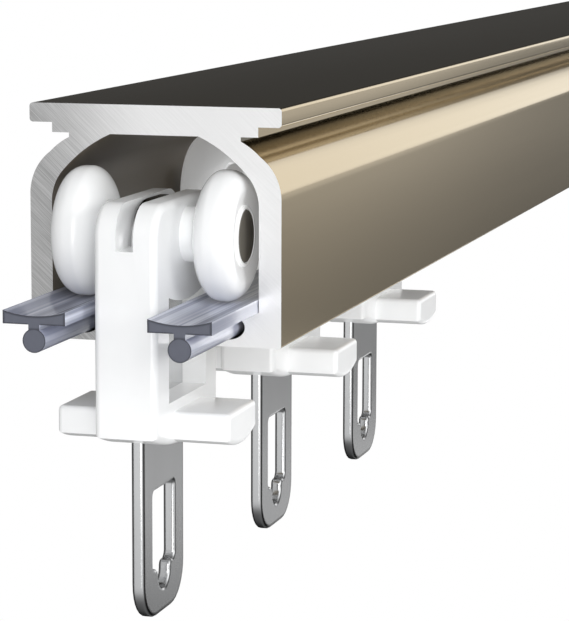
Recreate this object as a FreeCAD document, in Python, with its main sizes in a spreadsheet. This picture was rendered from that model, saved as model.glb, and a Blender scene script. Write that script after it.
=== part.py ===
"""Curtain track: a channel profile, two running strips and three roller carriers.

The origin is the middle of the top face. X runs across the track, Y along it and Z up.
Every size is a cell of the sheet. The sub-parts are drawn from those cells.
"""
import FreeCAD, Part
import math
import operator
import os

import Sketcher

os.makedirs("parts", exist_ok=True)
doc = FreeCAD.newDocument("curtain_track")

# The sheet holds each independent size in millimetres. A depth is measured down from the
# top face, and a half width out from the middle plane of the track.
SIZES = (
    # The channel profile
    ("track_length", 400.0),
    ("flange_half_width", 15.1),
    ("flange_thickness", 2.2),
    ("flange_edge_radius", 0.4),
    ("step_half_width", 12.35),
    ("step_depth", 3.35),
    ("notch_half_width", 10.3),
    ("shoulder_top_depth", 3.85),
    ("shoulder_knee_half_width", 12.6),
    ("shoulder_knee_depth", 5.55),
    ("shoulder_end_depth", 10.5),
    ("ceiling_half_width", 5.3),
    ("ceiling_depth", 3.4),
    ("inner_knee_half_width", 10.9),
    ("inner_knee_depth", 7.5),
    ("inner_curve_radius", 16.7),
    ("inner_end_depth", 11.3),
    ("wall_thickness", 2.65),
    ("channel_depth", 27.3),
    ("foot_radius", 0.3),
    ("lip_depth", 23.25),
    ("mouth_half_width", 5.0),
    # The running strips that the wheels roll on
    ("strip_offset", 8.7),
    ("strip_half_width", 3.67),
    ("strip_thickness", 1.5),
    ("strip_sag", 0.55),
    ("strip_neck_half_width", 0.65),
    ("strip_bulb_radius", 1.35),
    ("strip_bulb_drop", 1.8),
    ("strip_right_overhang", 17.3),
    ("strip_left_overhang", 15.7),
    ("groove_gap", 0.1),
    # Where the carriers stand
    ("carrier_setback", 0.9),
    ("carrier_pitch", 46.8),
    # The moulded block of a carrier
    ("block_half_width", 3.7),
    ("block_half_length", 11.3),
    ("block_top_depth", 10.35),
    ("block_top_radius", 5.0),
    ("block_softening", 0.8),
    ("sole_end_depth", 36.65),
    ("sole_belly", 1.95),
    ("slit_half_width", 1.05),
    ("slit_floor_depth", 15.5),
    ("window_half_length", 6.85),
    ("window_top_end_depth", 21.1),
    ("window_dip", 0.95),
    ("window_sill", 1.2),
    ("bar_half_span", 10.35),
    ("bar_half_length", 5.3),
    ("bar_side_height", 3.15),
    ("bar_belly", 1.1),
    ("bar_softening", 0.6),
    ("boss_radius", 3.2),
    # The steel hanger plate
    ("plate_half_width", 7.35),
    ("plate_thickness", 1.5),
    ("plate_top_depth", 10.7),
    ("plate_shoulder_radius", 5.0),
    ("plate_foot_radius", 4.7),
    ("plate_edge_radius", 0.25),
    ("eye_drop", 5.6),
    ("eye_length", 9.3),
    ("eye_half_width", 3.88),
    ("eye_corner_radius", 0.7),
    ("eye_shoulder_radius", 0.8),
    ("seat_radius", 2.0),
    ("foot_margin", 2.75),
    # The axle, its bushes and the wheels
    ("axle_depth", 14.65),
    ("axle_radius", 2.3),
    ("axle_reach", 10.75),
    ("head_radius", 3.0),
    ("head_thickness", 0.9),
    ("head_chamfer", 0.2),
    ("running_gap", 0.05),
    ("head_gap", 0.15),
    ("end_gap", 0.3),
    ("bush_radius", 3.5),
    ("bush_chamfer", 0.1),
    ("wheel_radius", 7.5),
    ("wheel_inner_offset", 5.6),
    ("wheel_width", 5.2),
    ("wheel_edge_radius", 2.2),
    ("wheel_dish", 0.35),
)
CARRIERS = (1, 2, 3)
SIDES = (("left", -1), ("right", 1))

sheet = doc.addObject("Spreadsheet::Sheet", "Sizes")
for row, (name, number) in enumerate(SIZES, start=1):
    sheet.set("A%d" % row, name)
    sheet.set("B%d" % row, str(number))
    sheet.setAlias("B%d" % row, name)
doc.recompute()


class Size:
    """A number that keeps the sheet formula it came from."""

    def __init__(self, value, formula):
        self.value = value
        self.formula = formula

    def __add__(self, other):
        return joined(self, "+", other)

    def __radd__(self, other):
        return joined(other, "+", self)

    def __sub__(self, other):
        return joined(self, "-", other)

    def __rsub__(self, other):
        return joined(other, "-", self)

    def __mul__(self, other):
        return joined(self, "*", other)

    def __rmul__(self, other):
        return joined(other, "*", self)

    def __truediv__(self, other):
        return joined(self, "/", other)

    def __neg__(self):
        return joined(0, "-", self)


ACTIONS = {
    "+": operator.add,
    "-": operator.sub,
    "*": operator.mul,
    "/": operator.truediv,
}


def as_size(number):
    if isinstance(number, Size):
        return number
    return Size(float(number), str(number))


def joined(left, sign, right):
    left = as_size(left)
    right = as_size(right)
    value = ACTIONS[sign](left.value, right.value)
    return Size(value, "(%s %s %s)" % (left.formula, sign, right.formula))


def root(size):
    return Size(math.sqrt(size.value), "sqrt(%s)" % size.formula)


def cell(name):
    return Size(float(sheet.get(name)), "Sizes." + name)


def bind(thing, path, size):
    thing.setExpression(path, as_size(size).formula)


def new_body(label):
    body = doc.addObject("PartDesign::Body", label)
    body.Label = label
    return body


def new_sketch(body, plane):
    """Adds an empty sketch on one of the body's own origin planes."""
    sketch = body.newObject("Sketcher::SketchObject", body.Name + "_outline")
    for feature in body.Origin.OriginFeatures:
        if feature.Role == plane:
            sketch.AttachmentSupport = [(feature, "")]
    sketch.MapMode = "FlatFace"
    return sketch


class Bend:
    """An arc to the next corner, bulging to the left (1) or right (-1) of the way there."""

    def __init__(self, radius, side, longer=False):
        self.radius = radius
        self.side = side
        self.longer = longer


def arc_between(start, end, bend):
    """The arc from start to end: its crown lies off the middle of the chord."""
    chord = end - start
    half = chord.Length / 2
    drop = math.sqrt(max(bend.radius.value ** 2 - half ** 2, 0.0))
    rise = bend.radius.value + (drop if bend.longer else -drop)
    sideways = FreeCAD.Vector(-chord.y, chord.x, 0).normalize() * bend.side
    return Part.Arc(start, (start + end) / 2 + sideways * rise, end)


def place(coordinate, word, axis, edge, end):
    """The constraint that holds one coordinate of a corner, and its formula if it has one."""
    if coordinate.value == 0:
        return Sketcher.Constraint("PointOnObject", edge, end, axis), None
    kept = Sketcher.Constraint(word, -1, 1, edge, end, coordinate.value)
    return kept, coordinate.formula


def draw(sketch, steps):
    """Draws a closed outline. Each step is a corner (x, y), and a Bend may follow it."""
    corners = []
    bends = []
    for step in steps:
        if isinstance(step, Bend):
            bends[-1] = step
        else:
            corners.append((as_size(step[0]), as_size(step[1])))
            bends.append(None)
    points = [FreeCAD.Vector(x.value, y.value, 0) for x, y in corners]
    edges = []
    for index, bend in enumerate(bends):
        start = points[index]
        end = points[(index + 1) % len(points)]
        shape = Part.LineSegment(start, end) if bend is None else arc_between(start, end, bend)
        number = sketch.addGeometry(shape, False)
        turned = sketch.getPoint(number, 1).distanceToPoint(start) > 1e-6
        edges.append((number, 2 if turned else 1, 1 if turned else 2))
    kept = []
    for index, (number, start_end, far_end) in enumerate(edges):
        after, after_start, unused = edges[(index + 1) % len(edges)]
        kept.append((Sketcher.Constraint("Coincident", number, far_end, after, after_start), None))
        x, y = corners[index]
        kept.append(place(x, "DistanceX", -2, number, start_end))
        kept.append(place(y, "DistanceY", -1, number, start_end))
        if bends[index] is not None:
            radius = as_size(bends[index].radius)
            kept.append((Sketcher.Constraint("Radius", number, radius.value), radius.formula))
    first = sketch.ConstraintCount
    sketch.addConstraint([constraint for constraint, formula in kept])
    for offset, (constraint, formula) in enumerate(kept):
        if formula is not None:
            sketch.setExpression("Constraints[%d]" % (first + offset), formula)


def draw_circle(sketch, x, y, radius):
    circle = Part.Circle(FreeCAD.Vector(as_size(x).value, as_size(y).value, 0),
                         FreeCAD.Vector(0, 0, 1), radius.value)
    number = sketch.addGeometry(circle, False)
    kept = [
        place(as_size(x), "DistanceX", -2, number, 3),
        place(as_size(y), "DistanceY", -1, number, 3),
        (Sketcher.Constraint("Radius", number, radius.value), radius.formula),
    ]
    first = sketch.ConstraintCount
    sketch.addConstraint([constraint for constraint, formula in kept])
    for offset, (constraint, formula) in enumerate(kept):
        if formula is not None:
            sketch.setExpression("Constraints[%d]" % (first + offset), formula)


def corner(x, y, radius, before, after):
    """A rounded corner at (x, y). Before and after are the unit steps of the two edges,
    each pointing the way the outline is drawn."""
    turn = before[0] * after[1] - before[1] * after[0]
    return [
        (x - radius * before[0], y - radius * before[1]),
        Bend(radius, -turn),
        (x + radius * after[0], y + radius * after[1]),
    ]


def mirrored(steps):
    """The same outline on the other side of the middle, drawn the other way round."""
    flipped = []
    for step in reversed(steps):
        flipped.append(step if isinstance(step, Bend) else (-as_size(step[0]), step[1]))
    return flipped


def pad(body, sketch, length, name):
    feature = body.newObject("PartDesign::Pad", body.Name + name)
    feature.Profile = sketch
    feature.SideType = "Symmetric"
    bind(feature, "Length", length)
    return feature


def pocket(body, sketch, name):
    feature = body.newObject("PartDesign::Pocket", body.Name + name)
    feature.Profile = sketch
    feature.Type = "ThroughAll"
    feature.SideType = "Symmetric"
    return feature


def fillet(body, base, wanted, radius, name):
    """Rounds the edges of the base feature that the wanted test picks out."""
    doc.recompute()
    edges = []
    for number, edge in enumerate(base.Shape.Edges, start=1):
        if wanted(edge):
            edges.append("Edge%d" % number)
    feature = body.newObject("PartDesign::Fillet", body.Name + name)
    feature.Base = (base, edges)
    bind(feature, "Radius", radius)
    return feature


def revolve(body, sketch, name):
    feature = body.newObject("PartDesign::Revolution", body.Name + name)
    feature.Profile = sketch
    feature.ReferenceAxis = (sketch, ["H_Axis"])
    feature.Angle = 360
    return feature


RIGHT = (1, 0)
LEFT = (-1, 0)
UP = (0, 1)
DOWN = (0, -1)
outer = cell("flange_half_width")
inner_wall = outer - cell("wall_thickness")
foot = -cell("channel_depth")
lip = -cell("lip_depth")
bulb_line = lip - cell("strip_bulb_drop")
axle_height = -cell("axle_depth")
sole_depth = cell("sole_end_depth") + cell("sole_belly")


def tangent_radius(knee_half_width, knee_depth, wall, end_depth):
    """The radius of the arc that leaves the knee and runs smoothly into the upright wall."""
    across = wall - knee_half_width
    down = end_depth - knee_depth
    return (across * across + down * down) / (2 * across)


def track_profile():
    """The extruded channel: a flange on top, curved shoulders, and grooved lips below."""
    body = new_body("track_profile")
    sketch = new_sketch(body, "XZ_Plane")
    shoulder = tangent_radius(cell("shoulder_knee_half_width"), cell("shoulder_knee_depth"),
                              outer, cell("shoulder_end_depth"))
    cheek = tangent_radius(cell("inner_knee_half_width"), cell("inner_knee_depth"),
                           inner_wall, cell("inner_end_depth"))
    groove = cell("strip_bulb_radius") + cell("groove_gap")
    throat = cell("strip_neck_half_width") + cell("groove_gap")
    middle = cell("strip_offset")
    throat_height = bulb_line + root(groove * groove - throat * throat)
    edge = cell("flange_edge_radius")
    under = -cell("flange_thickness")
    half = []
    half += corner(outer, as_size(0), edge, RIGHT, DOWN)
    half += corner(outer, under, edge, DOWN, LEFT)
    half += [
        (cell("step_half_width"), under),
        (cell("step_half_width"), -cell("step_depth")),
        (cell("notch_half_width"), -cell("step_depth")),
        (cell("notch_half_width"), -cell("shoulder_top_depth")),
        (cell("shoulder_knee_half_width"), -cell("shoulder_knee_depth")),
        Bend(shoulder, 1),
        (outer, -cell("shoulder_end_depth")),
    ]
    half += corner(outer, foot, cell("foot_radius"), DOWN, LEFT)
    half += [
        (cell("mouth_half_width"), foot),
        (cell("mouth_half_width"), lip),
        (middle - throat, lip),
        (middle - throat, throat_height),
        Bend(groove, -1, longer=True),
        (middle + throat, throat_height),
        (middle + throat, lip),
        (inner_wall, lip),
        (inner_wall, -cell("inner_end_depth")),
        Bend(cheek, -1),
        (cell("inner_knee_half_width"), -cell("inner_knee_depth")),
        Bend(cell("inner_curve_radius"), -1),
        (cell("ceiling_half_width"), -cell("ceiling_depth")),
    ]
    draw(sketch, half + mirrored(half))
    pad(body, sketch, cell("track_length"), "_pad")
    return body


def running_strip(name, side, overhang):
    """A running strip: a hollowed slab on a neck, with a bulb that slides into the groove."""
    body = new_body("running_strip_" + name)
    sketch = new_sketch(body, "XZ_Plane")
    middle = cell("strip_offset") * side
    reach = cell("strip_half_width")
    neck = cell("strip_neck_half_width")
    bulb = cell("strip_bulb_radius")
    top = lip + cell("strip_thickness")
    sag = cell("strip_sag")
    hollow = (reach * reach + sag * sag) / (2 * sag)
    neck_height = bulb_line + root(bulb * bulb - neck * neck)
    draw(sketch, [
        (middle - reach, top),
        Bend(hollow, -1),
        (middle + reach, top),
        (middle + reach, lip),
        (middle + neck, lip),
        (middle + neck, neck_height),
        Bend(bulb, 1, longer=True),
        (middle - neck, neck_height),
        (middle - neck, lip),
        (middle - reach, lip),
    ])
    pad(body, sketch, cell("track_length") + overhang, "_pad")
    bind(body, ".Placement.Base.y", -overhang / 2)
    return body


def carrier_position(number):
    start = cell("carrier_setback") - cell("track_length") / 2
    return start + cell("carrier_pitch") * (number - 1)


def carrier_body(number):
    """The white moulding that holds the plate and the axle, with a bar across its foot."""
    body = new_body("carrier_body_%d" % number)
    half_width = cell("block_half_width")
    half_length = cell("block_half_length")
    top = -cell("block_top_depth")
    sole_drop = cell("sole_belly")
    sole = (half_length * half_length + sole_drop * sole_drop) / (2 * sole_drop)

    side_view = new_sketch(body, "YZ_Plane")
    steps = corner(-half_length, top, cell("block_top_radius"), UP, RIGHT)
    steps += corner(half_length, top, cell("block_top_radius"), RIGHT, DOWN)
    steps += [
        (half_length, -cell("sole_end_depth")),
        Bend(sole, 1),
        (-half_length, -cell("sole_end_depth")),
    ]
    draw(side_view, steps)
    stem = pad(body, side_view, 2 * half_width, "_stem")

    def on_outline(edge):
        flat = edge.BoundBox.XLength < 1e-6
        along = edge.BoundBox.XLength > 1.9 * half_width.value
        low = edge.BoundBox.ZMax < -cell("sole_end_depth").value + 1e-6
        return flat or (along and low)

    fillet(body, stem, on_outline, cell("block_softening"), "_soft_stem")

    bar_view = new_sketch(body, "YZ_Plane")
    bar_half = cell("bar_half_length")
    bar_drop = cell("bar_belly")
    bar_edge = sole_depth - bar_drop
    bar_top = bar_edge - cell("bar_side_height")
    belly = (bar_half * bar_half + bar_drop * bar_drop) / (2 * bar_drop)
    draw(bar_view, [
        (-bar_half, -bar_top),
        (bar_half, -bar_top),
        (bar_half, -bar_edge),
        Bend(belly, 1),
        (-bar_half, -bar_edge),
    ])
    bar = pad(body, bar_view, 2 * cell("bar_half_span"), "_bar")

    def on_bar(edge):
        middle = abs(edge.BoundBox.Center.x)
        long_way = edge.BoundBox.XLength > 0.5 * (cell("bar_half_span") - half_width).value
        return middle > half_width.value + 1e-3 and (long_way or edge.BoundBox.XLength < 1e-6)

    fillet(body, bar, on_bar, cell("bar_softening"), "_soft_bar")

    boss_view = new_sketch(body, "YZ_Plane")
    draw_circle(boss_view, 0, axle_height, cell("boss_radius"))
    boss_reach = cell("wheel_inner_offset") - cell("end_gap")
    pad(body, boss_view, 2 * boss_reach, "_boss")

    window_view = new_sketch(body, "YZ_Plane")
    window_half = cell("window_half_length")
    dip = cell("window_dip")
    window_floor = bar_top - cell("window_sill")
    lintel = (window_half * window_half + dip * dip) / (2 * dip)
    draw(window_view, [
        (-window_half, -cell("window_top_end_depth")),
        Bend(lintel, -1),
        (window_half, -cell("window_top_end_depth")),
        (window_half, -window_floor),
        (-window_half, -window_floor),
    ])
    pocket(body, window_view, "_window")

    slit_view = new_sketch(body, "XZ_Plane")
    slit = cell("slit_half_width")
    above = as_size(0)
    draw(slit_view, [
        (-slit, above),
        (slit, above),
        (slit, -cell("slit_floor_depth")),
        (-slit, -cell("slit_floor_depth")),
    ])
    pocket(body, slit_view, "_slit")

    plate_view = new_sketch(body, "XY_Plane")
    plate = cell("plate_thickness") / 2
    width = cell("plate_half_width")
    draw(plate_view, [(-plate, -width), (plate, -width), (plate, width), (-plate, width)])
    pocket(body, plate_view, "_plate_seat")

    axle_view = new_sketch(body, "YZ_Plane")
    draw_circle(axle_view, 0, axle_height, cell("axle_radius"))
    pocket(body, axle_view, "_axle_bore")
    bind(body, ".Placement.Base.y", carrier_position(number))
    return body


def hanger_plate(number):
    """The stamped steel plate: moulded into the block above, with a keyhole eye below."""
    body = new_body("hanger_plate_%d" % number)
    sketch = new_sketch(body, "YZ_Plane")
    half = cell("plate_half_width")
    shoulder = cell("plate_shoulder_radius")
    toe = cell("plate_foot_radius")
    eye = cell("eye_half_width")
    seat = cell("seat_radius")
    bend = cell("eye_shoulder_radius")
    eye_top = -(sole_depth + cell("eye_drop"))
    eye_shoulder = eye_top - cell("eye_length")
    seat_middle = eye_shoulder - bend
    foot_height = seat_middle - seat - cell("foot_margin")

    steps = corner(-half, -cell("plate_top_depth"), shoulder, UP, RIGHT)
    steps += corner(half, -cell("plate_top_depth"), shoulder, RIGHT, DOWN)
    steps += corner(half, foot_height, toe, DOWN, LEFT)
    steps += corner(-half, foot_height, toe, LEFT, UP)
    draw(sketch, steps)

    steps = corner(-eye, eye_top, cell("eye_corner_radius"), UP, RIGHT)
    steps += corner(eye, eye_top, cell("eye_corner_radius"), RIGHT, DOWN)
    steps += corner(eye, eye_shoulder, bend, DOWN, LEFT)
    steps += corner(seat, eye_shoulder, bend, LEFT, DOWN)
    steps += [
        Bend(seat, 1),
        (as_size(0), seat_middle - seat),
        Bend(seat, 1),
    ]
    steps += corner(-seat, eye_shoulder, bend, UP, LEFT)
    steps += corner(-eye, eye_shoulder, bend, LEFT, UP)
    draw(sketch, steps)
    draw_circle(sketch, 0, axle_height, cell("axle_radius"))
    blank = pad(body, sketch, cell("plate_thickness"), "_blank")

    def on_face(edge):
        low = edge.BoundBox.ZMax < axle_height.value - cell("axle_radius").value
        above = edge.BoundBox.ZMax > axle_height.value + cell("head_radius").value
        outer_edge = edge.BoundBox.YLength < 1e-6 or above
        return edge.BoundBox.XLength < 1e-6 and (low or outer_edge)

    fillet(body, blank, on_face, cell("plate_edge_radius"), "_soft_edges")
    bind(body, ".Placement.Base.y", carrier_position(number))
    return body


def lift_to_axle(body, number):
    bind(body, ".Placement.Base.y", carrier_position(number))
    bind(body, ".Placement.Base.z", axle_height)


def axle(number):
    """The steel pin through block and plate. Its two heads keep the wheels on."""
    body = new_body("axle_%d" % number)
    sketch = new_sketch(body, "XY_Plane")
    reach = cell("axle_reach")
    head = cell("head_radius")
    bevel = cell("head_chamfer")
    neck = reach - cell("head_thickness")
    half = [
        (neck, cell("axle_radius")),
        (neck, head),
        (reach - bevel, head),
        (reach, head - bevel),
        (reach, as_size(0)),
    ]
    draw(sketch, half + mirrored(half))
    revolve(body, sketch, "_turned")
    lift_to_axle(body, number)
    return body


def bush(name, side, number):
    """The thin sleeve pressed into a wheel. Its outer end is bored out for the axle head."""
    body = new_body("bush_%s_%d" % (name, number))
    sketch = new_sketch(body, "XY_Plane")
    inner = cell("wheel_inner_offset")
    outer_end = cell("axle_reach")
    bore = cell("axle_radius") + cell("running_gap")
    cup = cell("head_radius") + cell("head_gap")
    cup_floor = outer_end - cell("head_thickness") - cell("end_gap")
    skin = cell("bush_radius")
    bevel = cell("bush_chamfer")
    draw(sketch, [
        (side * inner, bore),
        (side * cup_floor, bore),
        (side * cup_floor, cup),
        (side * outer_end, cup),
        (side * outer_end, skin - bevel),
        (side * (outer_end - bevel), skin),
        (side * inner, skin),
    ])
    revolve(body, sketch, "_turned")
    lift_to_axle(body, number)
    return body


def wheel(name, side, number):
    """The moulded wheel: a round-edged tread with slightly dished faces."""
    body = new_body("wheel_%s_%d" % (name, number))
    sketch = new_sketch(body, "XY_Plane")
    inner = cell("wheel_inner_offset")
    outer_face = inner + cell("wheel_width")
    dish = cell("wheel_dish")
    bore = cell("bush_radius")
    rim = cell("wheel_radius")
    edge = cell("wheel_edge_radius")
    draw(sketch, [
        (side * (inner + dish), bore),
        (side * inner, rim - edge),
        Bend(edge, side),
        (side * (inner + edge), rim),
        (side * (outer_face - edge), rim),
        Bend(edge, side),
        (side * outer_face, rim - edge),
        (side * (outer_face - dish), bore),
    ])
    revolve(body, sketch, "_turned")
    lift_to_axle(body, number)
    return body


bodies = [track_profile()]
for side_name, side_sign in SIDES:
    strip_overhang = cell("strip_%s_overhang" % side_name)
    bodies.append(running_strip(side_name, side_sign, strip_overhang))
for carrier in CARRIERS:
    bodies.append(carrier_body(carrier))
    bodies.append(hanger_plate(carrier))
    bodies.append(axle(carrier))
    for side_name, side_sign in SIDES:
        bodies.append(bush(side_name, side_sign, carrier))
        bodies.append(wheel(side_name, side_sign, carrier))
doc.recompute()

for thing in doc.Objects:
    if "Invalid" in thing.State or "Error" in thing.State:
        raise RuntimeError("%s did not rebuild: %s" % (thing.Label, thing.State))
for body in bodies:
    shape = body.Shape
    if shape.isNull() or not shape.isValid() or len(shape.Solids) != 1:
        raise RuntimeError("%s is not one sound solid" % body.Label)
    shape.exportStep("parts/%s.step" % body.Label)
    box = shape.BoundBox
    print("%-20s x %7.2f..%7.2f  y %8.2f..%8.2f  z %7.2f..%7.2f" % (
        body.Label, box.XMin, box.XMax, box.YMin, box.YMax, box.ZMin, box.ZMax))
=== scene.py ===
# %% [markdown]
# Curtain track with three roller carriers, seen from its cut end.
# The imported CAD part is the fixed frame: it says how large each piece is, where it stands and what
# it moves with. This notebook dresses it. Each CAD node is replaced by a piece with smoother curves
# and softer edges, and every surface gets the finish that the real one has.

# %% Load the frame
import math

import bmesh
import bpy
from mathutils import Matrix, Vector
from mathutils.geometry import tessellate_polygon


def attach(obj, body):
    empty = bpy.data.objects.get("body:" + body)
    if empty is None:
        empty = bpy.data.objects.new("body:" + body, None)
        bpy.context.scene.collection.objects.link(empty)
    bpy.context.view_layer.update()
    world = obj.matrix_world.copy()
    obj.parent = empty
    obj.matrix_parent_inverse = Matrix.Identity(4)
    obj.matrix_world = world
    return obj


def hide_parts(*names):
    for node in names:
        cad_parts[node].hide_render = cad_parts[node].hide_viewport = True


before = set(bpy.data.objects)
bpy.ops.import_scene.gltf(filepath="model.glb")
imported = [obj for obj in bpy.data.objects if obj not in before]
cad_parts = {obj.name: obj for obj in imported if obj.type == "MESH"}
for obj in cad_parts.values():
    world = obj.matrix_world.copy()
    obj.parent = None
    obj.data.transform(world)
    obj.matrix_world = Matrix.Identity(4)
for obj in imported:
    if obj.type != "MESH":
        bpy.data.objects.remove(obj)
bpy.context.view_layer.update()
MM = 0.001

# %% [markdown]
# The camera stands right of the track and a little above it. A long lens from half a metre away
# keeps the cut face nearly square on, while the track still runs off towards the top right. A
# camera could be placed by eye, but the directions and a few known widths in the picture fix its
# place, turn and lens together, so they stand here as plain numbers.

# %% Camera
PICTURE_HEIGHT = 621
LENS_IN_PIXELS = 2706.8
FILM = 36.0
YAW, PITCH, ROLL = [math.radians(degrees) for degrees in (16.086, 8.557, 0.169)]
STAND = (0.09936, -0.49085, 0.02271)

camera_data = bpy.data.cameras.new("camera")
camera_data.sensor_fit = "AUTO"
camera_data.sensor_width = FILM
camera_data.lens = LENS_IN_PIXELS / PICTURE_HEIGHT * FILM
camera_data.clip_start = 0.01
camera = bpy.data.objects.new("camera", camera_data)
bpy.context.scene.collection.objects.link(camera)
turn = Matrix.Rotation(YAW, 4, "Z") @ Matrix.Rotation(math.pi / 2 - PITCH, 4, "X")
turn = turn @ Matrix.Rotation(ROLL, 4, "Z")
camera.matrix_world = Matrix.Translation(STAND) @ turn
bpy.context.scene.camera = camera
print("lens", round(camera_data.lens, 1), "mm")

# %% [markdown]
# A finish is a net of nodes, and each could be added and linked in a line of its own. Most of them
# only add, multiply or compare, so that part reads better as plain arithmetic. Socket wraps an
# output, and an operation on it adds the Math node that does it. Every other kind of node comes
# from one method of Shading, and its other methods are the few combinations that come back often.

# %% Shader maths
class Socket:
    """An output of a node. Arithmetic on it adds Math nodes to its tree."""

    def __init__(self, tree, output):
        self.tree = tree
        self.output = output

    def maths(self, operation, *values):
        node = self.tree.nodes.new("ShaderNodeMath")
        node.operation = operation
        for place, value in enumerate(values):
            if isinstance(value, Socket):
                self.tree.links.new(value.output, node.inputs[place])
            else:
                node.inputs[place].default_value = value
        return Socket(self.tree, node.outputs[0])

    def __add__(self, other):
        return self.maths("ADD", self, other)

    def __radd__(self, other):
        return self.maths("ADD", other, self)

    def __sub__(self, other):
        return self.maths("SUBTRACT", self, other)

    def __rsub__(self, other):
        return self.maths("SUBTRACT", other, self)

    def __mul__(self, other):
        return self.maths("MULTIPLY", self, other)

    def __rmul__(self, other):
        return self.maths("MULTIPLY", other, self)

    def __pow__(self, other):
        return self.maths("POWER", self, other)

    def __rpow__(self, other):
        return self.maths("POWER", other, self)

    def __abs__(self):
        return self.maths("ABSOLUTE", self)

    def __mod__(self, other):
        return self.maths("MODULO", self, other)

    def __rmod__(self, other):
        return self.maths("MODULO", other, self)

    def or_more(self, other):
        """The larger of the two."""
        return self.maths("MAXIMUM", self, other)


class Shading:
    """A node tree, emptied, with one way to add any node to it."""

    def __init__(self, tree):
        self.tree = tree
        tree.nodes.clear()

    def node(self, kind, settings=None, inputs=None, output=0):
        """Adds a node: its settings first, then the values or links of its sockets."""
        made = self.tree.nodes.new(kind)
        for name, value in (settings or {}).items():
            setattr(made, name, value)
        for name, value in (inputs or {}).items():
            if isinstance(value, (Socket, list)):
                for source in value if isinstance(value, list) else [value]:
                    self.tree.links.new(source.output, made.inputs[name])
            else:
                made.inputs[name].default_value = value
        return Socket(self.tree, made.outputs[output]) if made.outputs else None

    def where(self, part, kind="Object"):
        """X, Y or Z of the point on the object, in metres. In a world, Generated is a direction."""
        place = self.node("ShaderNodeTexCoord", output=kind)
        return self.node("ShaderNodeSeparateXYZ", inputs={"Vector": place}, output=part)

    def noise(self, scale, detail=3.0, roughness=0.5, place=None):
        """Noise with its own scale along X, Y and Z, so that it can be drawn out into lines."""
        place = place or self.node("ShaderNodeTexCoord", output="Object")
        stretched = self.node("ShaderNodeMapping", inputs={"Vector": place, "Scale": scale})
        return self.node("ShaderNodeTexNoise", inputs={
            "Vector": stretched, "Scale": 1.0, "Detail": detail, "Roughness": roughness})

    def ramp(self, value, start, end, low=0.0, high=1.0):
        """Low before start and high after end, with a soft passage between them."""
        return self.node("ShaderNodeMapRange", {"interpolation_type": "SMOOTHSTEP"}, {
            "Value": value, "From Min": start, "From Max": end, "To Min": low, "To Max": high})

    def blend(self, amount, first, second):
        """Two colours mixed: the first where amount is 0, the second where it is 1."""
        return self.node("ShaderNodeMix", {"data_type": "RGBA"},
                         {0: amount, 6: first, 7: second}, output=2)

    def layer(self, amount, under, over):
        """Two surfaces mixed in the same way."""
        return self.node("ShaderNodeMixShader", inputs={0: amount, 1: under, 2: over})

    def bump(self, height, strength, distance):
        return self.node("ShaderNodeBump", inputs={
            "Height": height, "Strength": strength, "Distance": distance})

    def ray(self, kind):
        return self.node("ShaderNodeLightPath", output=kind)


def material(name):
    made = bpy.data.materials.new(name)
    made.use_nodes = True
    return made, Shading(made.node_tree)


def finished(made, shading, **sockets):
    """Adds the surface shader and the output. Words stand for the shader's sockets."""
    inputs = {word.replace("_", " "): value for word, value in sockets.items()}
    surface = shading.node("ShaderNodeBsdfPrincipled", inputs=inputs)
    shading.node("ShaderNodeOutputMaterial", inputs={"Surface": surface})
    print(made.name, "is made of", len(shading.tree.nodes), "nodes")
    return made


def rgb(red, green, blue):
    """A colour as it is seen on a screen, 0 to 255, turned into the light it stands for."""
    values = []
    for part in (red, green, blue):
        part = part / 255
        values.append(part / 12.92 if part <= 0.04045 else ((part + 0.055) / 1.055) ** 2.4)
    return (*values, 1.0)


def grey(level):
    return (level, level, level, 1.0)


# %% [markdown]
# The profile is extruded aluminium with a bronze anodised skin. Anodising is thin and even, so the
# metal stays glossy, and the die leaves very fine lines that run the whole length. A picture of
# brushed metal could be wrapped round it, but on so long a piece it would show where it repeats.
# Noise that is fine across the track and long along it never does. Just under the flange the skin is
# painted darker, as painted shade in the notch. Inside the channel it is dull, and painted darker as
# well, as painted shade of the channel.

# %% Bronze anodised skin
def make_bronze():
    made, s = material("bronze_anodised")
    lines = s.noise((2600.0, 3.0, 2600.0), detail=4.0, roughness=0.6)
    clouds = s.noise((30.0, 9.0, 30.0), detail=2.0)
    colour = s.blend(clouds, rgb(170, 155, 128), rgb(178, 163, 135))
    height = s.where("Z")
    # Painted shade: the shoulder just under the flange is darker.
    painted_notch_shade = s.ramp(height, -0.0056, -0.0037) * s.ramp(height, -0.0034, -0.0033, 1.0, 0.0)
    colour = s.blend(painted_notch_shade, colour, rgb(84, 81, 75))
    return finished(made, s, Base_Color=colour, Metallic=1.0, Roughness=0.1 + lines * 0.06,
                    Normal=s.bump(lines, 0.03, 0.00002), Specular_Tint=(1.0, 0.97, 0.9, 1.0))


# Painted shade: inside the channel the bronze is a darker, duller copy.
def make_shaded_bronze_inside():
    made, s = material("shaded_bronze_inside")
    lines = s.noise((1800.0, 6.0, 1800.0))
    colour = s.blend(lines, rgb(112, 102, 87), rgb(122, 112, 96))
    return finished(made, s, Base_Color=colour, Metallic=0.35, Roughness=0.36 + lines * 0.06)


bronze = make_bronze()
shaded_bronze_inside = make_shaded_bronze_inside()

# %% [markdown]
# The saw leaves the cut end bare, with fine scratches that run across it at a slant. They stand out
# on the left and fade out on the right. Across the cut the colour also runs from darker on the left
# to near white on the right, which is painted shade and painted light. The scratches are the same
# kind of drawn-out noise as the lines of the die, only turned to the slant of the saw.

# %% Sawn aluminium
SCRATCH_SLANT = math.radians(-43)


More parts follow.
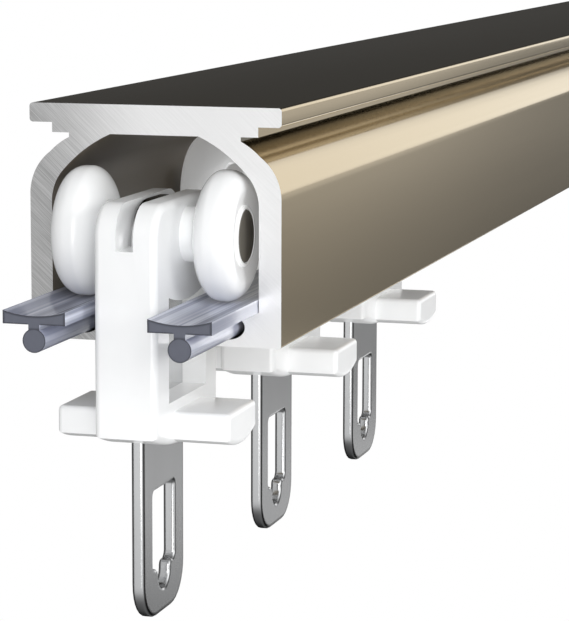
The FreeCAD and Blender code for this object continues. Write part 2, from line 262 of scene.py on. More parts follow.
def make_sawn():
    made, s = material("sawn_aluminium")
    turned = s.node("ShaderNodeVectorRotate", {"rotation_type": "Y_AXIS"}, {
        "Vector": s.node("ShaderNodeTexCoord", output="Object"), "Angle": SCRATCH_SLANT})
    scratches = s.noise((140.0, 500.0, 10000.0), detail=4.0, roughness=0.6, place=turned)
    # Painted shade and light: the cut runs from darker on the left to near white on the right.
    smooth_lit_side = s.ramp(s.where("X") + s.where("Z") * 0.3, -0.017, 0.0)
    level = s.ramp(scratches, 0.3, 0.7)
    scratched_shaded_side = s.blend(level, rgb(152, 152, 152), rgb(196, 196, 196))
    painted_light_side = s.blend(level, rgb(236, 236, 236), rgb(243, 243, 243))
    bump = s.bump(scratches * (1.0 - smooth_lit_side), 0.1, 0.00004)
    return finished(made, s, Base_Color=s.blend(smooth_lit_side, scratched_shaded_side, painted_light_side), Metallic=0.85,
                    Roughness=0.3 + level * 0.06, Normal=bump)


sawn = make_sawn()

# %% [markdown]
# Blocks, bars and wheels are glossy white nylon. A faint unevenness in gloss keeps them from looking
# like paper. White nylon also lets light soak through. Subsurface scattering could show that, at the
# price of slower and grainier renders. Here the nylon glows faintly instead, which is painted light
# that lifts its shade: a little everywhere, more at the foot of the blocks and on the wheels' right
# faces, and most deep in the channel.

# %% White nylon
def make_nylon(name, colour_low, colour_high, gloss):
    made, s = material(name)
    mottle = s.noise((180.0, 180.0, 180.0))
    ripple = s.noise((420.0, 420.0, 420.0), detail=2.0)
    height = s.where("Z")
    # Painted light: the nylon glows, more at the foot of the blocks, on the right faces of the
    # wheels and deep in the channel.
    deep_in_channel_glow = s.ramp(s.where("Y"), -0.19, -0.165) * s.ramp(height, -0.026, -0.021)
    right_face_glow = s.ramp(s.where("X"), 0.0098, 0.0106, 0.0, 0.6)
    painted_glow = s.blend(s.ramp(height, -0.034, -0.024, 1.0, 0.0), grey(0.05), grey(0.12))
    painted_glow = s.blend(deep_in_channel_glow.or_more(right_face_glow), painted_glow, grey(0.24))
    return finished(made, s, Base_Color=s.blend(mottle, colour_low, colour_high),
                    Roughness=gloss + mottle * 0.08, Normal=s.bump(ripple, 0.04, 0.0001),
                    Emission_Color=painted_glow, Emission_Strength=1.0)


nylon = make_nylon("white_nylon", rgb(236, 237, 238), rgb(244, 245, 245), 0.12)
sleeve = make_nylon("sleeve_plastic", rgb(228, 229, 229), rgb(238, 238, 238), 0.2)

# %% [markdown]
# The running strips are extruded grey-violet plastic, smooth enough to mirror the channel. Their
# tops are painted paler in fine streaks along their length, as painted reflections, and the bulb
# below the lip is painted darker, as painted shade in the groove. Their cut ends are darker than
# their tops, with a line darker still along the edge. That line could be painted by hand on a map.
# Here it is worked out from how far a point is from the outline, so it follows the shape of the
# strip.

# %% Strip plastic
STRIP_MIDDLE = 8.7
STRIP_HALF = 3.67
STRIP_TOP = -21.75
HOLLOW_DROP = 0.55
LIP_TOP = -23.25
BULB_MIDDLE = -25.05
BULB_RADIUS = 1.35
NECK_HALF = 0.65
HOLLOW_PER_METRE = 40.8


def make_strip_plastic():
    made, s = material("strip_plastic")
    dark, light = rgb(150, 154, 172), rgb(216, 220, 235)
    lines = s.noise((1100.0, 5.0, 1100.0))
    # Painted reflections: fine paler streaks along the strip.
    colour = s.blend(s.ramp(lines, 0.36, 0.66), dark, light)
    # Painted shade: below the lip top the strip is half-way darker.
    colour = s.blend(s.ramp(s.where("Z"), -0.0245, -0.0232, 0.5, 0.0), colour, dark)
    return finished(made, s, Base_Color=colour, Roughness=0.18 + lines * 0.05,
                    Normal=s.bump(lines, 0.04, 0.00005), IOR=1.6)


def make_strip_end():
    made, s = material("strip_cut_end")
    speckle = s.noise((900.0, 900.0, 900.0))
    across = abs(abs(s.where("X")) - STRIP_MIDDLE * MM)
    height = s.where("Z")
    side_rim = s.ramp(across, 0.0033, 0.00358)
    hollow = (STRIP_TOP - HOLLOW_DROP) * MM + across * across * HOLLOW_PER_METRE
    top_rim = s.ramp(hollow - height, 0.0001, 0.0003, 1.0, 0.0)
    foot_rim = s.ramp(height, -0.02318, -0.02305, 1.0, 0.0) * s.ramp(across, 0.0006, 0.0009)
    foot_rim = foot_rim * s.ramp(height, -0.02332, -0.02327)
    above_bulb = height - BULB_MIDDLE * MM
    from_bulb = (across * across + above_bulb * above_bulb) ** 0.5
    bulb_rim = s.ramp(from_bulb, 0.00115, 0.0013) * s.ramp(height, -0.0238, -0.0235, 1.0, 0.0)
    rim = side_rim.or_more(top_rim).or_more(foot_rim).or_more(bulb_rim)
    middle = s.blend(speckle, rgb(86, 89, 100), rgb(96, 99, 111))
    return finished(made, s, Base_Color=s.blend(rim, middle, rgb(58, 60, 70)),
                    Roughness=0.3 + speckle * 0.05)


strip_plastic = make_strip_plastic()
strip_end = make_strip_end()

# %% [markdown]
# The hanger plates are stamped from stainless sheet and tumbled, so they are satin rather than
# brushed. Their colour holds painted shade and light: a dark line along the rounded rim, a painted
# reflection of dark surroundings; a dark top where they go into the block, painted shade; painted
# shade darker towards the foot; and a near white band where they hang in the slit, a painted
# reflection. A bevelled edge alone reflects too much, so the dark line is part of the colour, found
# from the distance to the plate's outline, which repeats from one carrier to the next.
# The pins are plain turned steel, and their heads are dark and dull.

# %% Steel
CARRIERS = {1: -199.1, 2: -152.3, 3: -105.5}
SPACING = 46.8
PLATE_HALF = 7.35
PLATE_FOOT = -59.05
PLATE_CORNER = 4.7


def make_plate_steel():
    made, s = material("plate_steel")
    clouds = s.noise((120.0, 120.0, 60.0), detail=2.0)
    grain = s.noise((500.0, 500.0, 40.0), detail=2.0)
    height = s.where("Z")
    colour = s.blend(clouds, rgb(202, 203, 204), rgb(212, 213, 214))
    # Painted shade: the plate is darker towards its foot.
    colour = s.blend(s.ramp(height, -0.059, -0.038, 0.35, 0.0), colour, rgb(150, 151, 153))
    # Painted reflection: near white where the plate hangs in the slit.
    colour = s.blend(s.ramp(height, -0.018, -0.0165), colour, rgb(250, 250, 250))
    past_carrier = (s.where("Y") + (SPACING / 2 - CARRIERS[1]) * MM) % (SPACING * MM)
    from_middle = abs(past_carrier - SPACING / 2 * MM)
    sideways = (from_middle - (PLATE_HALF - PLATE_CORNER) * MM).or_more(0.0)
    downwards = ((PLATE_FOOT + PLATE_CORNER) * MM - height).or_more(0.0)
    from_corner = (sideways * sideways + downwards * downwards) ** 0.5
    # Painted reflection: a dark line along the rounded rim.
    rim = s.ramp(from_corner, 0.004, 0.0043) * s.ramp(abs(s.where("X")), 0.00058, 0.00068)
    # Painted shade: a dark top where the plate goes into the block.
    dark = (rim * 0.85).or_more(s.ramp(height, -0.0140, -0.0115))
    return finished(made, s, Base_Color=s.blend(dark, colour, rgb(40, 39, 38)), Metallic=1.0,
                    Roughness=0.22 + grain * 0.04)


def make_pin_steel():
    made, s = material("pin_steel")
    grain = s.noise((700.0, 700.0, 300.0))
    clouds = s.noise((120.0, 120.0, 60.0), detail=2.0)
    colour = s.blend(clouds, rgb(110, 106, 98), rgb(116, 112, 104))
    return finished(made, s, Base_Color=colour, Metallic=0.2, Roughness=0.4 + grain * 0.06,
                    Normal=s.bump(grain, 0.03, 0.00003))


plate_steel = make_plate_steel()
pin_steel = make_pin_steel()

# %% [markdown]
# Every piece here has a plain drawing behind it: straight runs, arcs and rounded corners. A small
# drawing kit makes those outlines. Curve objects could hold them too, but a list of points in
# millimetres can be printed, mirrored and checked. Its arcs are already walked round in short
# steps, so the pieces look round at this distance.

# %% Outlines
def arc(centre, radius, start, end, steps=16):
    """Points on an arc, from one angle to the other in degrees."""
    points = []
    for step in range(steps + 1):
        angle = math.radians(start + (end - start) * step / steps)
        points.append((centre[0] + radius * math.cos(angle), centre[1] + radius * math.sin(angle)))
    return points


def arc_to(start, end, radius, side, longer=False, steps=24):
    """Points on the arc from start to end, bulging left (1) or right (-1) of the way there."""
    first, last = Vector(start), Vector(end)
    chord = last - first
    drop = math.sqrt(max(radius ** 2 - (chord.length / 2) ** 2, 0.0))
    sideways = Vector((-chord.y, chord.x)).normalized() * side
    centre = (first + last) / 2 + sideways * (drop if longer else -drop)
    angle_a = math.degrees(math.atan2(first.y - centre.y, first.x - centre.x))
    angle_b = math.degrees(math.atan2(last.y - centre.y, last.x - centre.x))
    if side > 0:
        angle_b -= 360 * math.ceil((angle_b - angle_a) / 360)
    else:
        angle_b += 360 * math.ceil((angle_a - angle_b) / 360)
    return arc(centre, radius, angle_a, angle_b, steps)


def bow_radius(half, rise):
    """The radius of an arc that is twice half wide and stands rise high."""
    return (half ** 2 + rise ** 2) / (2 * rise)


def rounded(x, y, radius, before, after, steps=8):
    """A rounded corner between two square edges, given as unit steps along the outline."""
    side = -(before[0] * after[1] - before[1] * after[0])
    start = (x - radius * before[0], y - radius * before[1])
    end = (x + radius * after[0], y + radius * after[1])
    return arc_to(start, end, radius, side, steps=steps)


def mirror(points):
    return [(-x, y) for x, y in reversed(points)]


RIGHT, LEFT, UP, DOWN = (1, 0), (-1, 0), (0, 1), (0, -1)
print("a rounded corner has", len(rounded(0, 0, 1, UP, RIGHT)), "points")

# %% [markdown]
# Two ways of making a solid serve nearly every piece of the carriers. A slab is a flat outline
# pushed through a thickness, as a stamping or a flat moulding is, and its rims are rounded in the
# same step. A Bevel modifier could round them, but it needs care with narrow eyes and corners. A
# lathe turns half an outline round an axle, as a turned pin or a moulded wheel is.

# %% Slabs and lathes
MERGE = 1e-7
LEVEL = 0.99999


def new_piece(name, mesh, body, look=None):
    """Puts a finished mesh on its body. Without a look it keeps the ones it has."""
    piece = bpy.data.objects.new(name, mesh)
    bpy.context.scene.collection.objects.link(piece)
    if look is not None:
        mesh.materials.clear()
        mesh.materials.append(look)
    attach(piece, body)
    return piece


def tidy_mesh(mesh, sharp_degrees=32.0, level_axis=None):
    """Merges doubles, turns every face outwards and keeps real corners and level faces sharp."""
    work = bmesh.new()
    work.from_mesh(mesh)
    bmesh.ops.remove_doubles(work, verts=work.verts, dist=MERGE)
    bmesh.ops.recalc_face_normals(work, faces=work.faces)
    limit = math.radians(sharp_degrees)
    for face in work.faces:
        face.smooth = level_axis is None or abs(face.normal[level_axis]) < LEVEL
    for edge in work.edges:
        edge.smooth = len(edge.link_faces) == 2 and edge.calc_face_angle(0.0) < limit
    work.to_mesh(mesh)
    work.free()
    return mesh


# Each view that a slab may be drawn in: how it is turned there, and the axis it is level along.
VIEWS = {
    "side": (Matrix(((0, 0, 1, 0), (1, 0, 0, 0), (0, 1, 0, 0), (0, 0, 0, 1))), 0),
    "front": (Matrix(((1, 0, 0, 0), (0, 0, -1, 0), (0, 1, 0, 0), (0, 0, 0, 1))), 1),
}


SHARPEST_MITRE = 0.3


def inset(outline, amount):
    """Moves a closed outline sideways by an amount, into the material on its left."""
    moved = []
    for index, here in enumerate(outline):
        before = Vector(here) - Vector(outline[index - 1])
        after = Vector(outline[(index + 1) % len(outline)]) - Vector(here)
        before.normalize()
        after.normalize()
        left = Vector((-before.y - after.y, before.x + after.x)).normalized()
        stretch = max(SHARPEST_MITRE, left.dot(Vector((-before.y, before.x))))
        moved.append(tuple(Vector(here) + left * (amount / stretch)))
    return moved


def area(outline):
    """The area of a closed outline, below zero where it runs clockwise."""
    total = 0.0
    for index, (x, y) in enumerate(outline):
        last_x, last_y = outline[index - 1]
        total += (last_x * y - x * last_y) / 2
    return total


def slab(outlines, half_depth, view, middle, bevel=0.0, rim_steps=6):
    """A filled outline with holes, pushed both ways from its plane, with its rims rounded."""
    loops = []
    for number, outline in enumerate(outlines):
        counterclockwise = area(outline) > 0
        loops.append(outline if counterclockwise == (number == 0) else outline[::-1])
    levels = []  # how far the outline is drawn in, and at what height, from face to face
    for step in range(rim_steps + 1 if bevel else 1):
        angle = math.pi / 2 * step / rim_steps
        levels.append((bevel * (1 - math.sin(angle)), half_depth - bevel + bevel * math.cos(angle)))
    levels = [(depth_in, -height) for depth_in, height in levels] + levels[::-1]
    vertices, faces, rims = [], [], []
    for loop in loops:
        starts = []
        for depth_in, height in levels:
            starts.append(len(vertices))
            ring = inset(loop, depth_in) if depth_in else loop
            vertices += [(x * MM, y * MM, height * MM) for x, y in ring]
        rims.append(starts)
        count = len(loop)
        for low, high in zip(starts, starts[1:]):
            for i in range(count):
                j = (i + 1) % count
                faces.append((low + i, low + j, high + j, high + i))
    for end in (0, -1):
        rings, order = [], []
        for loop, starts in zip(loops, rims):
            rings.append([Vector(vertices[starts[end] + i]) for i in range(len(loop))])
            order += [starts[end] + i for i in range(len(loop))]
        for triangle in tessellate_polygon(rings):
            faces.append(tuple(order[i] for i in triangle))
    mesh = bpy.data.meshes.new("slab")
    mesh.from_pydata(vertices, [], faces)
    turned, level_axis = VIEWS[view]
    mesh.transform(Matrix.Translation(Vector(middle) * MM) @ turned)
    return tidy_mesh(mesh, level_axis=level_axis)


def lathe(profile, middle, segments=96):
    """Turns a profile of (x, radius) points round an axis along X through the middle."""
    work = bmesh.new()
    ring = [work.verts.new((x * MM, radius * MM, 0)) for x, radius in profile]
    edges = []
    for i, after in enumerate(ring[1:] + ring[:1]):
        if profile[i][1] > 0 or profile[(i + 1) % len(ring)][1] > 0:
            edges.append(work.edges.new((ring[i], after)))
    bmesh.ops.spin(work, geom=ring + edges, axis=(1, 0, 0), cent=(0, 0, 0),
                   angle=math.tau, steps=segments, use_merge=True)
    mesh = bpy.data.meshes.new("lathe")
    work.to_mesh(mesh)
    work.free()
    mesh.transform(Matrix.Translation(Vector(middle) * MM))
    return tidy_mesh(mesh)


# %% [markdown]
# The track and its strips come out of a die: one outline runs along a straight line, and a saw cuts
# both ends. The slab above could make them, but a rule that three main pieces follow is better
# stated once, in a Geometry Nodes tree. Its inputs are the outline, where the run starts, how long
# it is, and the two finishes of skin and cut.

# %% The extrusion tree
ALONG_TRACK = 0.8  # a face whose normal, squared, is more than this along Y is a cut


def extrusion_tree():
    tree = bpy.data.node_groups.new("extrusion", "GeometryNodeTree")
    g = Shading(tree)
    for name, kind in (("Outline", "NodeSocketGeometry"), ("Start", "NodeSocketFloat"),
                       ("Length", "NodeSocketFloat"), ("Skin", "NodeSocketMaterial"),
                       ("Cut", "NodeSocketMaterial")):
        tree.interface.new_socket(name, in_out="INPUT", socket_type=kind)
    tree.interface.new_socket("Geometry", in_out="OUTPUT", socket_type="NodeSocketGeometry")
    given = tree.nodes.new("NodeGroupInput")
    outline, start, length, skin, cut = [Socket(tree, given.outputs[i]) for i in range(5)]
    run = g.node("GeometryNodeExtrudeMesh", {"mode": "FACES"}, {
        "Mesh": outline, "Offset": (0.0, 1.0, 0.0), "Offset Scale": length, "Individual": False})
    far_cap = g.node("GeometryNodeFlipFaces", inputs={"Mesh": outline})
    whole = g.node("GeometryNodeJoinGeometry", inputs={"Geometry": [run, far_cap]})
    closed = g.node("GeometryNodeMergeByDistance", inputs={"Geometry": whole, "Distance": MERGE})
    shift = g.node("ShaderNodeCombineXYZ", inputs={"Y": start})
    placed = g.node("GeometryNodeTransform", inputs={"Geometry": closed, "Translation": shift})
    real = g.node("GeometryNodeRealizeInstances", inputs={"Geometry": placed})
    skinned = g.node("GeometryNodeSetMaterial", inputs={"Geometry": real, "Material": skin})
    normal = g.node("GeometryNodeInputNormal")
    facing = g.node("ShaderNodeSeparateXYZ", inputs={"Vector": normal}, output="Y")
    is_cut = facing.maths("GREATER_THAN", facing * facing, ALONG_TRACK)
    both_looks = g.node("GeometryNodeSetMaterial", inputs={
        "Geometry": skinned, "Selection": is_cut, "Material": cut})
    g.node("NodeGroupOutput", inputs={"Geometry": both_looks})
    return tree


EXTRUSION = extrusion_tree()
print("tree made of", len(EXTRUSION.nodes), "nodes")


def extruded(outline, start, length, skin, cut):
    """Runs the tree on one outline and returns its result as a plain mesh."""
    flat = bpy.data.meshes.new("outline")
    flat.from_pydata([(x * MM, 0.0, z * MM) for x, z in outline], [], [range(len(outline))])
    flat.materials.append(skin)
    flat.materials.append(cut)
    holder = bpy.data.objects.new("extrusion", flat)
    bpy.context.scene.collection.objects.link(holder)
    rule = holder.modifiers.new("extrusion", "NODES")
    rule.node_group = EXTRUSION
    values = {"Start": start * MM, "Length": length * MM, "Skin": skin, "Cut": cut}
    for item in EXTRUSION.interface.items_tree:
        if item.name in values:
            rule[item.identifier] = values[item.name]
    ready = holder.evaluated_get(bpy.context.evaluated_depsgraph_get())
    mesh = bpy.data.meshes.new_from_object(ready)
    bpy.data.objects.remove(holder)
    return tidy_mesh(mesh, level_axis=1)


# %% [markdown]
# The track profile. Its outline is one closed line: over the flange, down the shoulder and the
# wall, round the lip with its keyhole groove, and back under the ceiling. Only the right half is
# drawn, and the left half is its mirror image, as on the real die. The radii of the shoulder and
# the cheek are worked out from the points they join, so both run smoothly into the wall.

# %% Track profile
FLANGE_HALF = 15.1
WALL = 12.45
LIP_SOLE = -27.3
LIP_INNER_END = 5.0
CEILING = -3.4
GROOVE_HALF = (2.1, 1.45)
THROAT_HALF = 0.75


def groove():
    """The hollow in a lip: part of an ellipse, open at the top by its throat."""
    opening = math.degrees(math.acos(THROAT_HALF / GROOVE_HALF[0]))
    return [(STRIP_MIDDLE + GROOVE_HALF[0] * across, BULB_MIDDLE + GROOVE_HALF[1] * up)
            for across, up in arc((0, 0), 1, -180 - opening, opening, 32)]


def track_outline():
    clip_edge, shoulder_top, shoulder_foot = (10.3, -3.85), (12.6, -5.55), (FLANGE_HALF, -10.5)
    cheek_foot, cheek_top = (WALL, -11.3), (10.9, -7.5)
    shoulder = bow_radius(shoulder_top[1] - shoulder_foot[1], shoulder_foot[0] - shoulder_top[0])
    cheek = bow_radius(cheek_top[1] - cheek_foot[1], cheek_foot[0] - cheek_top[0])
    half = rounded(FLANGE_HALF, 0, 0.4, RIGHT, DOWN) + rounded(FLANGE_HALF, -2.2, 0.4, DOWN, LEFT)
    half += [(12.35, -2.2), (12.35, -3.35), (10.3, -3.35), clip_edge]
    half += arc_to(clip_edge, shoulder_top, 8.5, 1, steps=16)[1:-1]
    half += arc_to(shoulder_top, shoulder_foot, shoulder, 1, steps=40)
    half += rounded(FLANGE_HALF, LIP_SOLE, 0.3, DOWN, LEFT)
    half += [(LIP_INNER_END, LIP_SOLE), (LIP_INNER_END, LIP_TOP)]
    half += [(STRIP_MIDDLE - THROAT_HALF, LIP_TOP)] + groove()
    half += [(STRIP_MIDDLE + THROAT_HALF, LIP_TOP), (WALL, LIP_TOP)]
    half += arc_to(cheek_foot, cheek_top, cheek, -1)
    half += arc_to(cheek_top, (5.3, CEILING), 16.7, -1)[1:]
    return half + mirror(half)


TRACK_START = -200.0
TRACK_LENGTH = 400.0
NEAR = 0.01

track_mesh = extruded(track_outline(), TRACK_START, TRACK_LENGTH, bronze, sawn)
track_mesh.materials.append(shaded_bronze_inside)
shaded_inside_finish = len(track_mesh.materials) - 1
# The channel's inner faces get the darker copy: painted shade.
for face in track_mesh.polygons:
    across, height = face.center.x / MM, face.center.z / MM
    inside = abs(across) < WALL + NEAR and LIP_TOP - NEAR < height < CEILING + NEAR
    if inside and across * face.normal.x <= 0 and face.normal.y ** 2 < ALONG_TRACK:
        face.material_index = shaded_inside_finish
print("finishes", [look.name for look in track_mesh.materials])
track = new_piece("track", track_mesh, "track")
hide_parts("track_profile")
print("track", len(track_mesh.polygons), "faces")

# %% [markdown]
# The running strips. Each has a hollowed top that guides the wheel, and below it a neck and a
# bulb that slide into the groove of the lip. They come out of a die as the track does, so the same
# tree makes them. They aren't cut off with the track: both stand out of its cut end, the right one
# further than the left.

# %% Running strips
OVERHANG = {"left": 15.7, "right": 17.3}


def strip_outline(middle):
    neck_end = math.sqrt(BULB_RADIUS ** 2 - NECK_HALF ** 2) + BULB_MIDDLE
    left, right = middle - STRIP_HALF, middle + STRIP_HALF
    neck_left, neck_right = middle - NECK_HALF, middle + NECK_HALF
    points = arc_to((left, STRIP_TOP), (right, STRIP_TOP), bow_radius(STRIP_HALF, HOLLOW_DROP), -1)
    points += [(right, LIP_TOP), (neck_right, LIP_TOP)]
    points += arc_to((neck_right, neck_end), (neck_left, neck_end), BULB_RADIUS, 1, longer=True)
    return points + [(neck_left, LIP_TOP), (left, LIP_TOP)]


for side, sign in (("left", -1), ("right", 1)):
    mesh = extruded(strip_outline(STRIP_MIDDLE * sign), TRACK_START - OVERHANG[side],
                    TRACK_LENGTH + OVERHANG[side], strip_plastic, strip_end)
    piece = new_piece("strip_" + side, mesh, "track")
    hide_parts("running_strip_" + side)
    print("strip", side, len(mesh.polygons), "faces")

# %% [markdown]
# Wheels, bushes and pins are all round about the same axle line. A wheel is moulded with a soft
# shoulder on its inner side and a rounded tread, a bush is a thin sleeve in it, and a pin with a
# head at each end holds both on the block. A bevelled cylinder would round both rims alike, so
# each gets its own half outline, and one lathe turns them all.

# %% Wheels, bushes and pins
AXLE_HEIGHT = -14.65
HEAD_END = 10.75
BUSH_INNER_END = 5.6
BUSH_OUTSIDE = 3.5


def wheel_profile():
    shoulder = [(8.0 + across * 2.25, 3.7 + up * 3.8) for across, up in arc((0, 0), 1, 180, 90)]
    tread = arc((8.6, 5.3), 2.2, 90, 0, 12)
    return [(5.95, BUSH_OUTSIDE)] + shoulder + tread + [(10.45, BUSH_OUTSIDE)]


def bush_profile():
    inside = [(BUSH_INNER_END, 2.35), (9.55, 2.35), (9.55, 3.15), (HEAD_END, 3.15)]
    return inside + [(HEAD_END, 3.4), (10.65, BUSH_OUTSIDE), (BUSH_INNER_END, BUSH_OUTSIDE)]


def pin_profile():
    head = [(9.85, 3.0), (10.6, 3.0), (10.7, 2.96), (HEAD_END, 2.86), (HEAD_END, 2.8)]
    half = [(9.85, 2.3)] + head + [(HEAD_END, 0.0)]
    return half + mirror(half)


for number, y in CARRIERS.items():
    axle = (0, y, AXLE_HEIGHT)
    for side, sign in (("left", -1), ("right", 1)):
        body = "wheel_%s_%d" % (side, number)
        wheel_line = [(x * sign, radius) for x, radius in wheel_profile()]
        bush_line = [(x * sign, radius) for x, radius in bush_profile()]
        wheel = new_piece("rolling_%s_%d" % (side, number), lathe(wheel_line, axle), body,
                          nylon)
        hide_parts(body)
        bush = new_piece("sleeve_%s_%d" % (side, number), lathe(bush_line, axle, 64), body,
                         sleeve)
        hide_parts("bush_%s_%d" % (side, number))
    pin = new_piece("pin_%d" % number, lathe(pin_profile(), axle, 64), "carrier_%d" % number,
                    pin_steel)
    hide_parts("axle_%d" % number)
    print("carrier", number, "wheel", len(wheel.data.polygons), "pin", len(pin.data.polygons))

# %% [markdown]
# The hanger plates are stampings: a rounded tongue with a keyhole eye, its rims softened by
# tumbling. The wide part of the eye lets a hook in, and the round end below holds it. A Boolean
# could punch the eye, but a slab that takes the eye as a second outline rounds its rim as well.

# %% Hanger plates
PLATE_TOP = -10.45
PLATE_HALF_THICK = 0.75
EYE_HALF = 3.88
EYE_TOP = -44.2
EYE_LEDGE = -53.5
HOOK_SEAT = 2.0
LEDGE_CORNER = 0.8


def plate_outlines():
    half, ledge, corner = EYE_HALF, EYE_LEDGE, LEDGE_CORNER
    tongue = rounded(-PLATE_HALF, PLATE_TOP, 5.0, UP, RIGHT)
    tongue += rounded(PLATE_HALF, PLATE_TOP, 5.0, RIGHT, DOWN)
    tongue += rounded(PLATE_HALF, PLATE_FOOT, PLATE_CORNER, DOWN, LEFT)
    tongue += rounded(-PLATE_HALF, PLATE_FOOT, PLATE_CORNER, LEFT, UP)
    eye = rounded(-half, EYE_TOP, 0.7, UP, RIGHT) + rounded(half, EYE_TOP, 0.7, RIGHT, DOWN)
    eye += rounded(half, ledge, corner, DOWN, LEFT) + rounded(HOOK_SEAT, ledge, corner, LEFT, DOWN)
    eye += arc((0, ledge - corner), HOOK_SEAT, 0, -180, 24)[1:-1]
    eye += rounded(-HOOK_SEAT, ledge, corner, UP, LEFT) + rounded(-half, ledge, corner, LEFT, UP)
    return [tongue, eye[::-1]]


for number, y in CARRIERS.items():
    mesh = slab(plate_outlines(), PLATE_HALF_THICK, "side", (0, y, 0), bevel=0.42, rim_steps=8)
    plate = new_piece("hanger_%d" % number, mesh, "carrier_%d" % number, plate_steel)
    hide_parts("hanger_plate_%d" % number)
print("plate", len(mesh.polygons), "faces")

# %% [markdown]
# The blocks are mouldings: a stem with a window, a slit up its middle, a cross-bar at the foot and
# a boss on each side for the wheel. Such a form could be drawn face by face, but each is built the
# way its mould is cut. Stem, bar and bosses are joined into one, and then the window and the slit
# are taken out.

# %% Blocks
def joined(first, second, operation):
    """Combines two meshes with the exact solver and keeps only the result."""
    holder = bpy.data.objects.new("join", first)
    other = bpy.data.objects.new("with", second)
    for thing in (holder, other):
        bpy.context.scene.collection.objects.link(thing)
    cut = holder.modifiers.new("join", "BOOLEAN")
    cut.operation = operation
    cut.solver = "EXACT"
    cut.object = other
    ready = holder.evaluated_get(bpy.context.evaluated_depsgraph_get())
    mesh = bpy.data.meshes.new_from_object(ready)
    bpy.data.objects.remove(holder)
    bpy.data.objects.remove(other)
    return mesh


STEM_HALF_THICK = 3.7
BAR_REACH = 10.35
BOSS_REACH = 5.3
BOSS_RADIUS = 3.2
THROUGH_STEM = 9.0
THROUGH_BLOCK = 14.0
WINDOW_HALF = 6.85
WINDOW_TOP = -21.1
WINDOW_FLOOR = -33.15
LINTEL_RISE = 0.95
SLIT_HALF = 1.05
SLIT_TOP = -5.0
SLIT_FOOT = -15.5


def bowed(half, top, corner, foot, drop):
    """A shape with rounded top corners and a foot that bows down by a drop."""
    shape = rounded(-half, top, corner, UP, RIGHT) + rounded(half, top, corner, RIGHT, DOWN)
    return shape + arc_to((half, foot), (-half, foot), bow_radius(half, drop), 1)


def block_mesh(y):
    at = (0, y, 0)
    stem = bowed(half=11.3, top=-10.35, corner=3.8, foot=-36.65, drop=1.95)
    bar = bowed(half=5.3, top=-34.35, corner=0.6, foot=-37.5, drop=1.1)
    boss = arc((0, AXLE_HEIGHT), BOSS_RADIUS, 0, 360, 64)[:-1]
    lintel = bow_radius(WINDOW_HALF, LINTEL_RISE)
    window = arc_to((-WINDOW_HALF, WINDOW_TOP), (WINDOW_HALF, WINDOW_TOP), lintel, -1)
    window += [(WINDOW_HALF, WINDOW_FLOOR), (-WINDOW_HALF, WINDOW_FLOOR)]
    slit = [(-SLIT_HALF, SLIT_TOP), (SLIT_HALF, SLIT_TOP),
            (SLIT_HALF, SLIT_FOOT), (-SLIT_HALF, SLIT_FOOT)]
    mesh = slab([stem], STEM_HALF_THICK, "side", at, bevel=0.8, rim_steps=8)
    mesh = joined(mesh, slab([bar], BAR_REACH, "side", at, bevel=0.6), "UNION")
    mesh = joined(mesh, slab([boss], BOSS_REACH, "side", at, bevel=0.3), "UNION")
    mesh = joined(mesh, slab([window], THROUGH_STEM, "side", at), "DIFFERENCE")
    mesh = joined(mesh, slab([slit], THROUGH_BLOCK, "front", at), "DIFFERENCE")
    return tidy_mesh(mesh, sharp_degrees=40.0, level_axis=0)


for number, y in CARRIERS.items():
    block = new_piece("block_%d" % number, block_mesh(y), "carrier_%d" % number,
                      nylon)
    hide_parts("carrier_body_%d" % number)
    print("block", number, len(block.data.polygons), "faces")

# %% [markdown]
# The floor is a pale sheet well below the hanging track, so its shadow stays out of the picture.
# The camera sees it as plain white, and from below not at all, so that it hides nothing there.
# Metal sees it with a soft pool of light in front and on the right, fading towards the left, as a
# shaded studio floor would be. Real shades and lamps could make that pool, but they would light the
# piece as well. A floor that shows the pool to glossy rays alone leaves the light as it is.

# %% Floor
def floor_level(s):
    """How bright the floor looks in a reflection, from where the point lies on the floor."""
    x = s.where("X")
    y = s.where("Y")
    far = (x * x + y * y) ** 0.5
    behind = s.ramp(y, -0.25, 0.15)
    lit_side = s.ramp(x - y * 0.21, -0.1, 0.3, 0.36, 1.2)
    gap = s.ramp(x - y * 0.45, 0.0, 0.2, 1.0, 0.3)
    middle_ground = s.ramp(far, 0.64, 0.9, -0.03, 0.38) - s.ramp(far, 0.95, 1.4, 0.0, 0.36)
    back_level = (0.17 + middle_ground + s.ramp(far, 0.6, 4.0, 0.1, 0.47)) * lit_side * gap
    patch = s.ramp(x - y * 0.09, -0.09, 0.06) * s.ramp(x - y * 0.2, 0.0, 0.05, 1.0, 0.0)
    patch = patch * s.ramp(far, 1.05, 1.3, 1.0, 0.0)
    back_level = back_level * (1.0 - patch) + patch * 1.6
    front_level = s.ramp(x - y * 0.62, -0.15, 0.15, 0.1, 0.95)
    underfoot = s.ramp(far, 0.25, 0.7, 0.2, 1.0)
    return (back_level * behind + front_level * (1.0 - behind)) * underfoot


def make_floor_look():
    made, s = material("floor_paper")
    plain = s.node("ShaderNodeBsdfDiffuse", inputs={"Color": rgb(232, 232, 232)})
    mirrored = s.node("ShaderNodeEmission", inputs={"Color": floor_level(s), "Strength": 1.0})
    white = s.node("ShaderNodeEmission", inputs={"Color": grey(1.0), "Strength": 1.0})
    straight = s.ray("Is Camera Ray").or_more(s.ray("Is Transmission Ray"))
    surface = s.layer(s.ray("Is Glossy Ray"), plain, mirrored)
    surface = s.layer(straight, surface, white)
    from_below = s.node("ShaderNodeNewGeometry", output="Backfacing")
    surface = s.layer(from_below, surface, s.node("ShaderNodeBsdfTransparent"))
    s.node("ShaderNodeOutputMaterial", inputs={"Surface": surface})
    return made


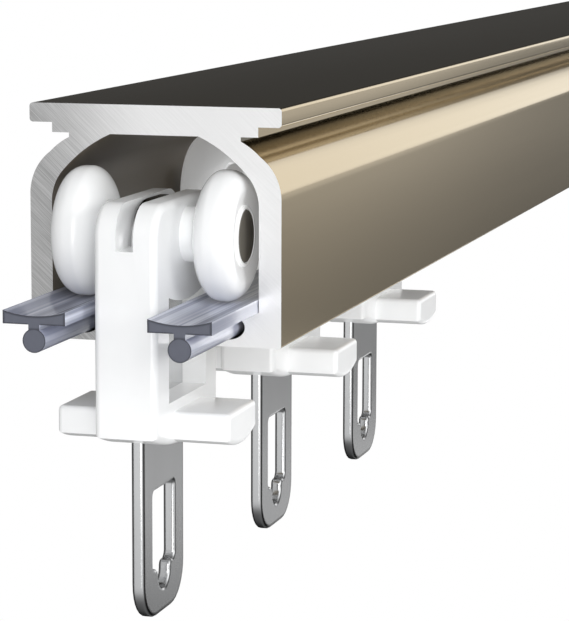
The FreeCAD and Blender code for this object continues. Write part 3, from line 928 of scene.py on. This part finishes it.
FLOOR_HEIGHT = -0.30
REACH = 9.0
corners = [(x * REACH, y * REACH, FLOOR_HEIGHT) for x, y in ((-1, -1), (1, -1), (1, 1), (-1, 1))]
floor_mesh = bpy.data.meshes.new("floor")
floor_mesh.from_pydata(corners, [], [range(len(corners))])
floor_mesh.materials.append(make_floor_look())
floor = bpy.data.objects.new("floor", floor_mesh)
bpy.context.scene.collection.objects.link(floor)
print("floor at", FLOOR_HEIGHT)

# %% [markdown]
# The world is a studio tent that only light and reflections see: bright in front and overhead,
# dim low down behind, with one white panel behind, a little to the right. The top of the bronze
# mirrors the dim part, and the shoulder mirrors the panel as its bright band. Large real lamps
# could stand in for the panel, but a tent drawn by direction has no grain and no hard ends. What
# isn't mirrored gets a plain soft light from all sides.

# %% World
def mirrored_level(s):
    """How bright the tent looks in a reflection, from the direction it is seen in."""
    east, north, height = [s.where(part, "Generated") for part in "XYZ"]
    level = s.ramp(height * 0.9 - north, -0.7, 0.6, 0.05, 0.8) * s.ramp(east, -0.75, -0.45, 0.2)
    level = level + s.ramp(east, 0.55, 0.8, 0.0, 1.2) * s.ramp(north, -0.1, 0.4, 1.0, 0.0)
    level = level + s.ramp(height, 0.028, 0.07, 0.02, 0.0) * s.ramp(north, 0.5, 0.8)
    past_edge = east - north * 0.1
    panel = s.ramp(past_edge, -0.06, 0.02) * s.ramp(east - north * 0.5, -0.1, 0.1, 1.0, 0.0)
    panel = panel * s.ramp(north, 0.2, 0.35)
    panel = panel * s.ramp(height, 0.32, 0.45, 1.0, 0.0) * s.ramp(height, -0.036, -0.032)
    return level * (1.0 - panel) + panel * s.ramp(past_edge, -0.04, 0.1, 1.08, 1.44)


world = bpy.data.worlds.new("tent")
bpy.context.scene.world = world
world.use_nodes = True
w = Shading(world.node_tree)
soft_level = 0.31 + w.ramp(w.where("Z", "Generated"), -0.3, 0.8, 0.0, 0.08)
glossy = w.ray("Is Glossy Ray")
level = mirrored_level(w) * glossy + soft_level * (1.0 - glossy)
tent = w.node("ShaderNodeBackground", inputs={"Color": level, "Strength": 1.0})
white = w.node("ShaderNodeBackground", inputs={"Color": grey(1.0), "Strength": 1.0})
straight = w.ray("Is Camera Ray").or_more(w.ray("Is Transmission Ray"))
w.node("ShaderNodeOutputWorld", inputs={"Surface": w.layer(straight, tent, white)})
print("world made of", len(world.node_tree.nodes), "nodes")

# %% [markdown]
# Three soft lamps: a key from the front right and above, a low one on the right that reaches under
# the track, and a small one behind the camera that shines into the channel. Small hard lamps
# would put points of light on the wheels, so each is a wide sheet. Only the small one shows in
# reflections.

# %% Lamps
def lamp(name, place, aim, size, power, mirrored):
    data = bpy.data.lights.new(name, "AREA")
    data.shape = "RECTANGLE"
    data.size, data.size_y = size
    data.energy = power
    holder = bpy.data.objects.new(name, data)
    holder.visible_glossy = mirrored
    bpy.context.scene.collection.objects.link(holder)
    facing = (Vector(aim) - Vector(place)).to_track_quat("-Z", "Y").to_matrix().to_4x4()
    holder.matrix_world = Matrix.Translation(place) @ facing
    print("lamp", name, power, "W")


lamp("key", (0.6, -1.1, 1.1), (0, -0.15, -0.02), (0.9, 0.9), 6.0, False)
lamp("side", (1.3, -0.5, 0.35), (0, -0.15, -0.03), (0.7, 0.5), 5.5, False)
lamp("near", (0.3, -1.07, 0.05), (0, -0.15, -0.01), (0.4, 0.66), 3.5, True)

bpy.context.scene.view_settings.view_transform = "Standard"
